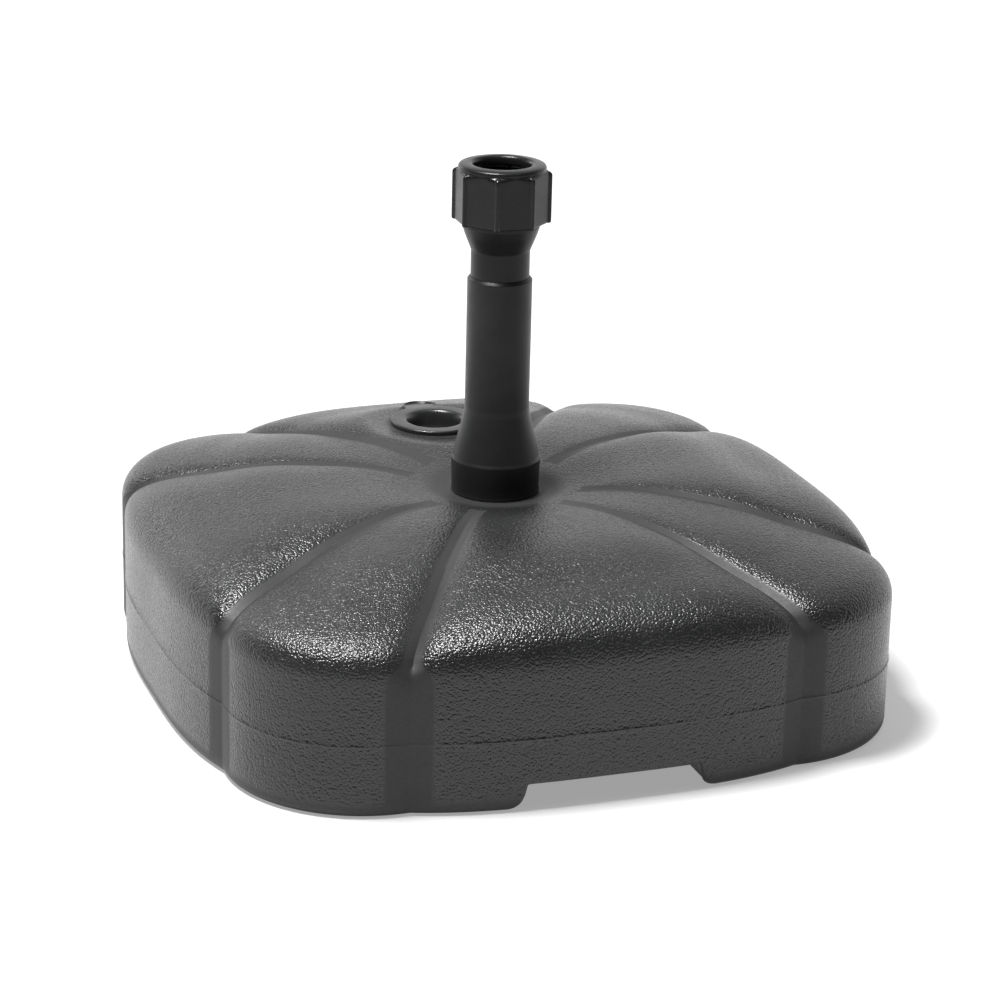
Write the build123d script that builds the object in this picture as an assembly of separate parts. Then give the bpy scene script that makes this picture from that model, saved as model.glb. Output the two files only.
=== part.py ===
from build123d import *
import math
import os

os.makedirs("parts", exist_ok=True)

# Parasol base, millimetres. +Z up, the origin is on the floor under the middle of the
# stem, the front grip notch faces -Y and the filler sits in the rear petal, towards +Y.

# ---------------------------------------------------------------- driving dimensions
PARTING_W = 0.6       # how far the flash of the mould's parting line stands out
HALF = 250.0 - PARTING_W      # half the footprint, without the flash, across two side petals
GROOVE_X = 136.5      # where a groove meets the wall, along the side
GROOVE_Y = 233.8      # where a groove meets the wall, from the middle
CORNER_R = 292.4      # outermost radius of a corner petal
SIDE_POWER = 3.1      # how square the side petals are in plan
WALL_TOP = 94.0       # where the wall turns into the shoulder
SHOULDER = 24.4       # radius of the shoulder
SIDE_LIFT = 8.8       # how far a side petal stands above its grooves
CORNER_LIFT = 2.6     # the same for a corner petal
FOOT_ROUND = 7.0      # rounding of the bottom edge
PARTING_Z = 50.0      # parting line of the mould
SKIN = 3.0            # wall of the blown shell
SEAT_R = 33.0         # flat hub seat under the stem foot
SEAT_Z = 132.0
DOME = [(66.0, 137.6), (84.0, 139.8), (101.8, 140.5), (120.0, 139.7), (137.4, 138.2),
        (155.0, 136.4), (173.0, 133.7), (191.0, 129.9), (208.7, 125.8), (225.0, 122.6),
        (239.2, 119.2)]       # height of the grooves by distance from the stem

UNDER_R = 196.0       # raised middle of the underside, the rim stands on the floor
UNDER_Z = 4.0
WELL_R = 22.6         # through-well for the stem spigot
NUT_POCKET_R = 46.0
NUT_POCKET_Z = 24.0

GRIP_HALF = 62.0      # grip notches, front and rear
GRIP_H = 18.0
GRIP_ROUND = 12.0     # lower corner of the foot at each end of a notch
GRIP_DEPTH = 56.0

FILL_Y = 137.0        # filler axis
FILL_Z = 138.0        # underside of the plug flange
FILL_R = 21.9         # bore of the filler neck
FILL_NECK = 20.0      # depth of the neck below the flange seat

TUBE_R = 22.5         # plain stem tube
TUBE_BORE = 19.0
TUBE_TOP = 287.5
SPIGOT_R = 22.3       # spigot in the well
SPIGOT_Z = 8.0
FOOT_R = 30.7
FOOT_TOP_R = 31.4
FOOT_TOP_Z = 157.0
CONE_TOP_Z = 192.0

NECK_R = 20.4
NECK_TOP = 307.0
FLARE_R = 27.0
COLLAR_Z = 326.0      # top of the flare, start of the knob's thread
THREAD_TOP = 337.0
POLE_BORE = 16.5      # for a 32 mm pole
SLEEVE_LOW = 232.0

FINGERS = 6
FINGER_ROOT = 329.6
FINGER_TOP = 356.0
SLIT = 3.2
CLAMP_SLOPE = math.tan(math.radians(10.4))

KNOB_LOW = 326.4
KNOB_TOP = 367.0
KNOB_R = 34.4         # over the eight corner ribs
KNOB_SIDES = 8
KNOB_MOUTH = 20.2
KNOB_TURN = 20.5     # where its first corner stands with the clamp open
GAP = 0.35            # running gap between moving pieces


# ---------------------------------------------------------------- plan shape of the tank
GROOVE_R = math.hypot(GROOVE_X, GROOVE_Y)
GROOVE_A = math.degrees(math.atan2(GROOVE_X, GROOVE_Y))
_half_chord = GROOVE_R * math.sin(math.radians(45 - GROOVE_A))
_sag = CORNER_R - GROOVE_R * math.cos(math.radians(45 - GROOVE_A))
ARC_R = (_half_chord ** 2 + _sag ** 2) / (2 * _sag)
ARC_D = CORNER_R - ARC_R


def fold(deg):
    a = deg % 90.0
    return 90.0 - a if a > 45.0 else a


def reach(deg):
    """Distance from the stem axis to the wall in a direction."""
    a = math.radians(fold(deg))
    if fold(deg) <= GROOVE_A + 1e-9:
        r = HALF
        for _ in range(30):
            y = min(r * math.sin(a) / GROOVE_X, 1.0)
            r = (HALF - (HALF - GROOVE_Y) * y ** SIDE_POWER) / math.cos(a)
        return r
    phi = math.radians(45.0) - a
    return ARC_D * math.cos(phi) + math.sqrt(ARC_R ** 2 - (ARC_D * math.sin(phi)) ** 2)


def lift(deg, r, wall):
    """Height of a petal above the grooves beside it."""
    f = fold(deg)
    side = f <= GROOVE_A
    u = f / GROOVE_A if side else (45.0 - f) / (45.0 - GROOVE_A)
    s = min(max((r - 61.0) / 122.0, 0.0), 1.0)
    s = s * s * (3 - 2 * s)
    h = SIDE_LIFT * (1 - u ** 4) if side else CORNER_LIFT * (1 - u ** 2)
    return h * s


def section(deg, skin):
    """Closed outline of the tank in the upright plane at an angle about the stem."""
    wall = reach(deg)
    top_z = 114.6 + lift(deg, wall - SHOULDER, wall)
    if fold(deg) > GROOVE_A:
        top_z -= 0.4
    rise = top_z - WALL_TOP
    pts = []
    for a in (7.0, 22.0, 43.0, 63.0):
        c, s = math.cos(math.radians(a)), math.sin(math.radians(a))
        pts.append((wall - skin - (SHOULDER - skin * 0.5) * (1 - c), WALL_TOP + rise * s - skin * s * 0.9))
    for q, z in reversed(DOME):
        r = q / GROOVE_R * wall
        if q < 120:
            t = max((q - SEAT_R) / (120 - SEAT_R), 0.0)
            r = q * (1 - t) + r * t
        pts.append((r, z + lift(deg, r, wall) - skin))
    a = math.radians(deg)
    ux, uy = math.cos(a), math.sin(a)

    def at(r, z):
        return Vector(r * ux, r * uy, z)

    inner = 18.0
    low = skin
    w = wall - skin
    fr = FOOT_ROUND - skin * 0.6
    edges = [Edge.make_line(at(inner, low), at(w - fr, low)),
             Edge.make_three_point_arc(at(w - fr, low), at(w - fr * (1 - math.sqrt(0.5)), low + fr * (1 - math.sqrt(0.5))), at(w, low + fr))]
    if skin == 0:
        edges += [Edge.make_line(at(w, fr), at(w, PARTING_Z - 0.9)),
                  Edge.make_line(at(w, PARTING_Z - 0.9), at(w + PARTING_W, PARTING_Z)),
                  Edge.make_line(at(w + PARTING_W, PARTING_Z), at(w, PARTING_Z + 0.9)),
                  Edge.make_line(at(w, PARTING_Z + 0.9), at(w, WALL_TOP))]
    else:
        edges += [Edge.make_line(at(w, low + fr), at(w, WALL_TOP))]
    pts += [(50.0, 135.0 - skin), (40.0, 133.2 - skin)]
    curve = [at(w, WALL_TOP)] + [at(r, z) for r, z in pts] + [at(SEAT_R, SEAT_Z - skin)]
    edges += [Edge.make_spline(curve),
              Edge.make_line(at(SEAT_R, SEAT_Z - skin), at(inner, SEAT_Z - skin)),
              Edge.make_line(at(inner, SEAT_Z - skin), at(inner, low))]
    return Face(Wire(edges))


def petals(skin):
    """Eight lofted petals that share their end sections in the groove planes."""
    g = GROOVE_A
    side = loft([section(g * u, skin) for u in (-1, -0.86, -0.62, -0.32, 0, 0.32, 0.62, 0.86, 1)])
    c = 45.0 - g
    corner = loft([section(45.0 + c * u, skin) for u in (-1, -0.7, -0.36, 0, 0.36, 0.7, 1)])
    pieces = []
    for k in range(4):
        pieces.append(side.rotate(Axis.Z, 90 * k))
        pieces.append(corner.rotate(Axis.Z, 90 * k))
    return pieces[0].fuse(*pieces[1:])


def solid_of(shape):
    s = shape.solids() if hasattr(shape, "solids") else shape
    s = sorted(s, key=lambda k: -k.volume)
    return s[0]


def cyl(r, z0, z1, x=0.0, y=0.0):
    return Pos(x, y, (z0 + z1) / 2) * Cylinder(r, z1 - z0)


def turned(points):
    """A solid of revolution about Z from (radius, height) points."""
    with BuildPart() as p:
        with BuildSketch(Plane.XZ):
            with BuildLine():
                Polyline(*[(r, z) for r, z in points], close=True)
            make_face()
        revolve(axis=Axis.Z)
    return p.part


def grip_block(sign, grow):
    """A grip notch, open to the wall and to the floor. The foot on each side of it ends in a round corner."""
    a, w, h = GRIP_HALF + GRIP_ROUND, GRIP_HALF + grow, GRIP_H + grow
    r1, r2 = GRIP_ROUND - grow, 3.0 + grow
    q = math.sqrt(0.5)
    with BuildPart() as p:
        with BuildSketch(Plane.XZ):
            with BuildLine():
                Polyline((a, grow), (a, -5), (-a, -5), (-a, grow))
                ThreePointArc((-a, grow), (-a + r1 * q, GRIP_ROUND - r1 * q), (-w, GRIP_ROUND))
                Line((-w, GRIP_ROUND), (-w, h - r2))
                ThreePointArc((-w, h - r2), (-w + r2 * (1 - q), h - r2 * (1 - q)), (-w + r2, h))
                Line((-w + r2, h), (w - r2, h))
                ThreePointArc((w - r2, h), (w - r2 * (1 - q), h - r2 * (1 - q)), (w, h - r2))
                Line((w, h - r2), (w, GRIP_ROUND))
                ThreePointArc((w, GRIP_ROUND), (a - r1 * q, GRIP_ROUND - r1 * q), (a, grow))
            make_face()
        extrude(amount=GRIP_DEPTH + grow + 10)
    s = p.part
    b = s.bounding_box()
    s = s.moved(Location((0, -b.min.Y - (HALF + 10), 0)))
    return s if sign < 0 else s.rotate(Axis.Z, 180)


# ---------------------------------------------------------------- tank
def make_tank():
    outer = petals(0.0)
    cavity = petals(SKIN)
    cavity = cavity - cyl(WELL_R + SKIN, -1, 200)
    cavity = cavity - cyl(UNDER_R + SKIN, -1, UNDER_Z + SKIN)
    cavity = cavity - cyl(NUT_POCKET_R + SKIN, -1, NUT_POCKET_Z + SKIN)
    cavity = cavity - grip_block(-1, SKIN) - grip_block(1, SKIN)
    cavity = cavity - cyl(FILL_R + 3.0, FILL_Z - FILL_NECK, 200, 0, FILL_Y)
    cavity = cavity - cyl(36.5, FILL_Z - SKIN - 1.2, 200, 0, FILL_Y)
    tab = Pos(0, FILL_Y + 42, 150) * Box(36, 36, 2 * (150 - (FILL_Z - 9.5)))
    cavity = cavity - tab
    tank = outer - cavity
    tank = tank - cyl(WELL_R, -5, 200)
    tank = tank - cyl(UNDER_R, -5, UNDER_Z)
    tank = tank - cyl(NUT_POCKET_R, -5, NUT_POCKET_Z)
    tank = tank - grip_block(-1, 0) - grip_block(1, 0)
    # filler: seat for the flange, bore, and the finger dip under the pull tab
    tank = tank - cyl(33.2, FILL_Z, 200, 0, FILL_Y)
    tank = tank - cyl(FILL_R, FILL_Z - FILL_NECK - 5, 200, 0, FILL_Y)
    dip = Pos(0, FILL_Y + 41, FILL_Z + 12.0) * Sphere(18.0)
    slot = Pos(0, FILL_Y + 38, FILL_Z + 10) * Box(26.6, 28, 20)
    slot = slot + cyl(13.3, FILL_Z, FILL_Z + 20, 0, FILL_Y + 52 - 13.0)
    tank = tank - dip - slot
    return solid_of(tank)


# ---------------------------------------------------------------- stem
def make_stem():
    pts = [(TUBE_BORE, SPIGOT_Z), (SPIGOT_R - 1.2, SPIGOT_Z), (SPIGOT_R, SPIGOT_Z + 1.2),
           (SPIGOT_R, SEAT_Z), (FOOT_R + 0.9, SEAT_Z), (FOOT_R + 0.9, SEAT_Z + 1.6),
           (FOOT_R, SEAT_Z + 2.6), (FOOT_R, SEAT_Z + 6), (FOOT_TOP_R, FOOT_TOP_Z - 2),
           (FOOT_TOP_R - 0.9, FOOT_TOP_Z), (TUBE_R + 0.5, CONE_TOP_Z - 3), (TUBE_R, CONE_TOP_Z + 2),
           (TUBE_R, TUBE_TOP - 1.6), (TUBE_R - 0.5, TUBE_TOP - 0.5), (TUBE_R - 1.6, TUBE_TOP),
           (TUBE_BORE, TUBE_TOP)]
    return solid_of(turned(pts))


def make_washer():
    z1 = NUT_POCKET_Z
    return solid_of(cyl(34.0, z1 - 2.0, z1) - cyl(SPIGOT_R + 0.2, z1 - 5, z1 + 5))


def make_nut():
    z1, z0 = NUT_POCKET_Z - 2.0, 11.0
    with BuildPart() as p:
        with BuildSketch(Plane.XY.offset(z0)):
            Circle(36.0)
            with PolarLocations(38.4, 12):
                Circle(4.4, mode=Mode.SUBTRACT)
            Circle(SPIGOT_R, mode=Mode.SUBTRACT)
        extrude(amount=z1 - z0)
    return solid_of(p.part)


def make_stop():
    """Cross-ribbed disc with a centring cup for the end of the pole."""
    z0 = SPIGOT_Z + 1.0
    disc = cyl(TUBE_BORE, z0, z0 + 4) - cyl(4.0, z0 - 1, z0 + 5)
    ring = cyl(TUBE_BORE, z0 + 4, z0 + 18) - turned([(0, z0 + 3), (POLE_BORE + 0.1, z0 + 3), (POLE_BORE + 0.1, z0 + 14), (TUBE_BORE - 0.6, z0 + 19), (0, z0 + 19)])
    s = disc + ring
    for k in range(4):
        s = s + (Rot(0, 0, 45 * k) * (Pos(0, 0, z0 + 5) * Box(2 * TUBE_BORE - 3, 2.4, 2.0)))
    s = s - cyl(4.0, z0 - 1, z0 + 7)
    return solid_of(s)


# ---------------------------------------------------------------- neck and clamp
def make_neck():
    pts = [(POLE_BORE, SLEEVE_LOW + 2.0), (POLE_BORE + 1.2, SLEEVE_LOW), (TUBE_BORE - 0.8, SLEEVE_LOW),
           (TUBE_BORE, SLEEVE_LOW + 3), (TUBE_BORE, TUBE_TOP), (NECK_R, TUBE_TOP), (NECK_R, NECK_TOP - 1),
           (NECK_R + 0.4, NECK_TOP + 1), (25.0, 317.6), (FLARE_R - 0.1, 323.5), (FLARE_R, COLLAR_Z),
           (FLARE_R, THREAD_TOP - 0.8), (FLARE_R - 0.8, THREAD_TOP), (24.0, THREAD_TOP),
           (24.0, FINGER_ROOT - 0.6), (POLE_BORE, FINGER_ROOT - 0.6)]
    return solid_of(turned(pts))


def finger_outer(z):
    """Conical back of the finger heads."""
    return 22.0 - (z - 347.0) * CLAMP_SLOPE


def make_finger(k):
    """One clamping finger: thin root, thick wedge head."""
    top = FINGER_TOP
    pts = [(POLE_BORE, FINGER_ROOT), (19.2, FINGER_ROOT), (19.2, 343.6), (22.0, 347.0),
           (finger_outer(top), top), (POLE_BORE + 1.4, top), (POLE_BORE, top - 2.0)]
    ring = turned(pts)
    half = 180.0 / FINGERS
    wedge = Polyline((0, 0), (40, -40 * math.tan(math.radians(half))), (40, 40 * math.tan(math.radians(half))), close=True)
    block = extrude(Plane.XY.offset(FINGER_ROOT - 5) * make_face(wedge), amount=60)
    s = ring & block
    for side in (-1, 1):
        cut = Rot(0, 0, side * half) * (Pos(25, 0, 345) * Box(50, SLIT, 80))
        s = s - cut
    return solid_of(s.rotate(Axis.Z, 360.0 / FINGERS * k + 90.0))


def make_slip_ring():
    z0, z1 = 350.0, 356.4
    pts = [(finger_outer(z0) + GAP, z0), (26.6, z0), (26.6, z1), (finger_outer(z1) + GAP, z1)]
    return solid_of(turned(pts))


def make_knob():
    """Eight flat faces with raised corner ribs, chamfered rim, open mouth for the pole."""
    with BuildPart() as p:
        with BuildSketch(Plane.XY.offset(KNOB_LOW)):
            RegularPolygon(KNOB_R - 1.3, KNOB_SIDES)
            with PolarLocations(KNOB_R - 1.8, KNOB_SIDES):
                Circle(1.8)
        extrude(amount=KNOB_TOP - KNOB_LOW)
    body = p.part
    rim = turned([(0, KNOB_LOW - 1), (KNOB_R - 1.6, KNOB_LOW - 1), (KNOB_R + 0.4, KNOB_LOW + 2.2), (KNOB_R + 0.2, KNOB_TOP - 4.0),
                  (KNOB_R - 1.4, KNOB_TOP - 2.6), (30.3, KNOB_TOP - 0.9), (28.0, KNOB_TOP), (0, KNOB_TOP)])
    body = body & rim
    bore = turned([(0, KNOB_LOW - 1), (FLARE_R + GAP + 0.6, KNOB_LOW - 1), (FLARE_R + GAP, KNOB_LOW + 0.6), (FLARE_R + GAP, 356.4),
                   (KNOB_MOUTH + 1.4, 358.6), (KNOB_MOUTH, 360.4), (KNOB_MOUTH, KNOB_TOP - 1.2), (KNOB_MOUTH + 1.2, KNOB_TOP + 0.01), (0, KNOB_TOP + 0.01)])
    knob = solid_of(body - bore)
    return knob.rotate(Axis.Z, KNOB_TURN)


# ---------------------------------------------------------------- filler plug
def make_plug():
    z = FILL_Z
    pts = [(0, z - 15.0), (20.2, z - 15.0), (21.0, z - 13.6), (21.0, z - 9.0), (19.9, z - 8.4), (19.9, z - 5.6), (21.0, z - 5.0),
           (21.5, z), (32.4, z), (32.6, z + 1.0), (31.6, z + 2.8), (29.5, z + 3.4), (24.0, z + 3.4), (21.8, z + 2.6), (19.6, z - 1.0), (18.0, z - 7.0), (14.0, z - 10.6), (0, z - 11.6)]
    body = turned(pts)
    tab = Pos(0, 37.0, z + 1.3) * Box(25.0, 15.0, 2.6) + cyl(12.5, z, z + 2.6, 0, 39.0)
    lip = (cyl(12.5, z + 2.6, z + 4.2, 0, 39.0) - cyl(10.4, z, z + 6, 0, 39.0)) & (Pos(0, 51.0, z + 3) * Box(40, 24, 6))
    tab = tab - cyl(31.0, z - 5, z + 10)
    s = body + tab + lip
    return solid_of(s.moved(Location((0, FILL_Y, 0))))


def make_seal():
    z = FILL_Z
    s = turned([(19.9, z - 8.3), (21.2, z - 8.3), (21.6, z - 7.6), (21.6, z - 6.4), (21.2, z - 5.7), (19.9, z - 5.7)])
    return solid_of(s.moved(Location((0, FILL_Y, 0))))


nodes = {
    "tank": make_tank(),
    "stem_tube": make_stem(),
    "nut_washer": make_washer(),
    "stem_nut": make_nut(),
    "pole_stop": make_stop(),
    "neck_sleeve": make_neck(),
    "slip_ring": make_slip_ring(),
    "clamp_knob": make_knob(),
    "filler_plug": make_plug(),
    "plug_seal": make_seal(),
}
for k in range(FINGERS):
    nodes["collet_finger_%d" % (k + 1)] = make_finger(k)

for name, shape in nodes.items():
    b = shape.bounding_box()
    print("%-16s volume %10.0f mm3  valid %s  z %.2f..%.2f" % (name, shape.volume, shape.is_valid, b.min.Z, b.max.Z))
    export_step(shape, "parts/%s.step" % name)
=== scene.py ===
import math

import bpy
import bmesh
import numpy as np
from mathutils import Vector, Matrix
from mathutils.geometry import delaunay_2d_cdt


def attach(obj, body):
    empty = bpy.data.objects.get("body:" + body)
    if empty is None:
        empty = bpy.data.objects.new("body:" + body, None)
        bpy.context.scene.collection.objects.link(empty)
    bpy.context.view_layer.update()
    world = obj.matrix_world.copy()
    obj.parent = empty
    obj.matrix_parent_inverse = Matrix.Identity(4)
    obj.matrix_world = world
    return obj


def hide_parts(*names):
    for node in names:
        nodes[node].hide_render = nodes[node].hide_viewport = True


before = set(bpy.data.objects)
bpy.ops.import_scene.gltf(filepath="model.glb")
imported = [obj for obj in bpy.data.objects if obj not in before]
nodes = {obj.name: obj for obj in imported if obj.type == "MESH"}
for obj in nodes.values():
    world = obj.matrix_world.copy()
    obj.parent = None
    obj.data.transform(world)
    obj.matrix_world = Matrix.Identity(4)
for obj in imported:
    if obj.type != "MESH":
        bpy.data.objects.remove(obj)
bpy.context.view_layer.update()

scene = bpy.context.scene
MM = 0.001

# ------------------------------------------------------------------ camera
cam_data = bpy.data.cameras.new("camera")
cam = bpy.data.objects.new("camera", cam_data)
scene.collection.objects.link(cam)
cam_pos = Vector((-0.72047, -2.02794, 0.87411))
fwd = Vector((0.31768, 0.88916, -0.32935)).normalized()
right = Vector((0.94412, -0.32879, 0.02304)).normalized()
up = right.cross(fwd).normalized()
right = fwd.cross(up).normalized()
cam.matrix_world = Matrix((
    (right.x, up.x, -fwd.x, cam_pos.x),
    (right.y, up.y, -fwd.y, cam_pos.y),
    (right.z, up.z, -fwd.z, cam_pos.z),
    (0, 0, 0, 1)))
cam_data.sensor_width = 36.0
cam_data.lens = 116.188
cam_data.clip_start = 0.05
cam_data.clip_end = 60.0
scene.camera = cam
scene.view_settings.view_transform = "Standard"
scene.view_settings.look = "None"
scene.view_settings.exposure = 0.0
scene.view_settings.gamma = 1.0

# ------------------------------------------------------------------ sizes of the base, mm
PARTING_W = 0.6
HALF = 250.0 - PARTING_W
GROOVE_X, GROOVE_Y, CORNER_R, SIDE_POWER = 136.5, 233.8, 292.4, 3.1
WALL_TOP, SHOULDER = 94.0, 24.4
SIDE_LIFT, CORNER_LIFT, GROOVE_DEEP = 8.8, 1.6, 4.6
PARTING_Z = 50.0
SKIN = 3.0
SEAT_R, SEAT_Z = 33.0, 132.0
DOME = [(66.0, 137.6), (84.0, 139.8), (101.8, 140.5), (120.0, 139.7), (137.4, 138.2), (155.0, 136.4),
        (173.0, 133.7), (191.0, 129.9), (208.7, 125.8), (225.0, 122.6), (239.2, 119.2)]
UNDER_R, UNDER_Z = 196.0, 4.0
WELL_R, POCKET_R, POCKET_Z = 22.6, 46.0, 24.0
GRIP_HALF, GRIP_H = 62.0, 18.0
FILL = (0.0, 137.0)
FILL_Z, FILL_R, FILL_NECK = 138.0, 21.9, 20.0
GR = math.hypot(GROOVE_X, GROOVE_Y)
GA = math.degrees(math.atan2(GROOVE_X, GROOVE_Y))
_hc = GR * math.sin(math.radians(45 - GA))
_sg = CORNER_R - GR * math.cos(math.radians(45 - GA))
ARC_R = (_hc ** 2 + _sg ** 2) / (2 * _sg)
ARC_D = CORNER_R - ARC_R


def sstep(x):
    x = np.clip(x, 0.0, 1.0)
    return x * x * (3 - 2 * x)


def fold(deg):
    a = np.asarray(deg, float) % 90.0
    return np.where(a > 45.0, 90.0 - a, a)


def reach(deg):
    f = fold(deg)
    a = np.radians(f)
    r = np.full(a.shape, HALF)
    for _ in range(30):
        y = np.minimum(r * np.sin(a) / GROOVE_X, 1.0)
        r = (HALF - (HALF - GROOVE_Y) * y ** SIDE_POWER) / np.cos(a)
    phi = math.radians(45.0) - a
    rc = ARC_D * np.cos(phi) + np.sqrt(np.maximum(ARC_R ** 2 - (ARC_D * np.sin(phi)) ** 2, 0))
    return np.where(f <= GA + 1e-9, r, rc)


def groove_off(deg, r):
    """Distance across from the nearest groove, mm."""
    f = fold(deg)
    return np.abs(r * np.sin(np.radians(f - GA)))


def spline_matrix(t, te):
    """Natural cubic spline through values at t, evaluated at te, as a matrix."""
    n = len(t)
    h = np.diff(t)
    A = np.zeros((n, n)); B = np.zeros((n, n))
    A[0, 0] = A[-1, -1] = 1
    for i in range(1, n - 1):
        A[i, i - 1] = h[i - 1]; A[i, i] = 2 * (h[i - 1] + h[i]); A[i, i + 1] = h[i]
        B[i, i - 1] = 6 / h[i - 1]; B[i, i] = -6 / h[i - 1] - 6 / h[i]; B[i, i + 1] = 6 / h[i]
    C = np.linalg.solve(A, B)
    M = np.zeros((len(te), n))
    for k, x in enumerate(te):
        i = min(max(int(np.searchsorted(t, x)) - 1, 0), n - 2)
        a = (t[i + 1] - x) / h[i]; b = (x - t[i]) / h[i]
        M[k, i] += a; M[k, i + 1] += b
        M[k] += ((a ** 3 - a) * C[i] + (b ** 3 - b) * C[i + 1]) * h[i] ** 2 / 6
    return M


def top_points(deg):
    """Spline stations from the top of the wall to the hub seat, without the petals' lift near the groove."""
    deg = np.atleast_1d(np.asarray(deg, float))
    R = reach(deg)
    f = fold(deg)
    side = f <= GA
    u = np.where(side, f / GA, (45.0 - f) / (45.0 - GA))
    top_z = 114.6 + np.where(side, SIDE_LIFT * (1 - u ** 4), CORNER_LIFT * (1 - u ** 2) + 1.0 * (1 - u ** 2))
    rise = top_z - WALL_TOP
    r, z = [R], [np.full(R.shape, WALL_TOP)]
    for a in (7.0, 22.0, 43.0, 63.0):
        c, s = math.cos(math.radians(a)), math.sin(math.radians(a))
        r.append(R - SHOULDER * (1 - c)); z.append(WALL_TOP + rise * s)
    for q, zz in reversed(DOME):
        rr = q / GR * R
        if q < 120:
            t = max((q - SEAT_R) / (120 - SEAT_R), 0.0)
            rr = q * (1 - t) + rr * t
        s = sstep((rr - 61.0) / 122.0)
        h = np.where(side, SIDE_LIFT * (1 - u ** 4), CORNER_LIFT * (1 - u ** 2))
        r.append(rr); z.append(zz + h * s)
    r += [np.full(R.shape, 50.0), np.full(R.shape, 40.0), np.full(R.shape, SEAT_R)]
    z += [np.full(R.shape, 135.0), np.full(R.shape, 133.2), np.full(R.shape, SEAT_Z)]
    return np.array(r), np.array(z)


_pr, _pz = top_points([0.0, GA, 45.0])
_t = np.concatenate([[0], np.cumsum(np.hypot(np.diff(_pr.mean(1)), np.diff(_pz.mean(1))))])
N_TOP = 118
_te = np.concatenate([np.linspace(0, 42.0, 24)[:-1], np.linspace(42.0, _t[-1], N_TOP - 23)])
SPL = spline_matrix(_t, _te)


def top_curve(deg):
    """The petals' outline from wall to hub, with the valleys that the petals roll into."""
    r, z = top_points(deg)
    r, z = SPL @ r, SPL @ z
    dr, dz = np.gradient(r, axis=0), np.gradient(z, axis=0)
    n = np.maximum(np.hypot(dr, dz), 1e-6)
    nr, nz = dz / n, -dr / n
    d = groove_off(np.broadcast_to(np.atleast_1d(deg), r.shape), r)
    depth = GROOVE_DEEP * sstep((z - 90.0) / 17.0) * (0.30 + 0.70 * sstep((r - 110.0) / 150.0)) * sstep((r - 50.0) / 46.0)
    g = 0.78 * np.exp(-(d / 8.6) ** 2) + 0.22 * np.exp(-d / 2.6)
    return r - nr * depth * g, z - nz * depth * g


def boss(x, y):
    """How far the petal dips to a level seat round the filler."""
    return 4.7 * (1 - sstep((np.hypot(x, y - 134.0) - 35.0) / 24.0))


def top_z(x, y):
    x = np.atleast_1d(np.asarray(x, float)); y = np.atleast_1d(np.asarray(y, float))
    deg = np.degrees(np.arctan2(y, x)); rr = np.hypot(x, y)
    r, z = top_curve(deg)
    out = np.empty(len(x))
    for i in range(len(x)):
        out[i] = np.interp(rr[i], r[::-1, i], z[::-1, i])
    return out - boss(x, y)


def grip(x, y):
    """Height of the grip notches above the floor, 0 away from them. The foot ends in a round corner."""
    a = GRIP_HALF + 12.0 - np.abs(x)                 # how far in from where the foot starts to rise
    h = np.where(a <= 0, 0.0, np.where(a < 11.6, 12.0 - np.sqrt(np.maximum(144.0 - np.clip(a, 0, 12) ** 2, 0)), 9.0))
    t = np.clip((a - 11.6) / 2.6, 0, 1)
    h = np.where(a >= 11.6, 9.0 + (GRIP_H - 9.0) * (1 - (1 - t) ** 2.2), h)
    return h * (np.abs(y) > 120.0)


def petal_columns():
    cols = []
    for k in range(4):
        base = 90.0 * k
        n = 160 if k in (1, 3) else 104
        u = np.linspace(-1, 1, n + 1)[:-1]
        u = 0.72 * u + 0.28 * np.sin(u * math.pi / 2)
        cols.append(base + GA * u)
        m = 60
        u = np.linspace(-1, 1, m + 1)[:-1]
        u = 0.72 * u + 0.28 * np.sin(u * math.pi / 2)
        cols.append(base + 45.0 + (45.0 - GA) * u)
    cols.append(np.array([a + b for a in (90.0, 270.0) for b in (-0.30, -0.15, 0.15, 0.30)]))
    out = np.sort(np.concatenate(cols))
    return out


def to_object(name, verts_mm, faces, attrs=None):
    me = bpy.data.meshes.new(name)
    me.from_pydata((np.asarray(verts_mm) * MM).tolist(), [], faces)
    me.update()
    ob = bpy.data.objects.new(name, me)
    scene.collection.objects.link(ob)
    if attrs:
        for key, val in attrs.items():
            a = me.attributes.new(key, "FLOAT", "POINT")
            a.data.foreach_set("value", np.asarray(val, np.float32))
    return ob


def finish_mesh(ob, angle=50.0, recalc=True):
    me = ob.data
    if recalc:
        bm = bmesh.new(); bm.from_mesh(me)
        bmesh.ops.recalc_face_normals(bm, faces=bm.faces[:])
        bm.to_mesh(me); bm.free()
    me.polygons.foreach_set("use_smooth", [True] * len(me.polygons))
    me.set_sharp_from_angle(angle=math.radians(angle))
    me.update()
    return ob


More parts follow.
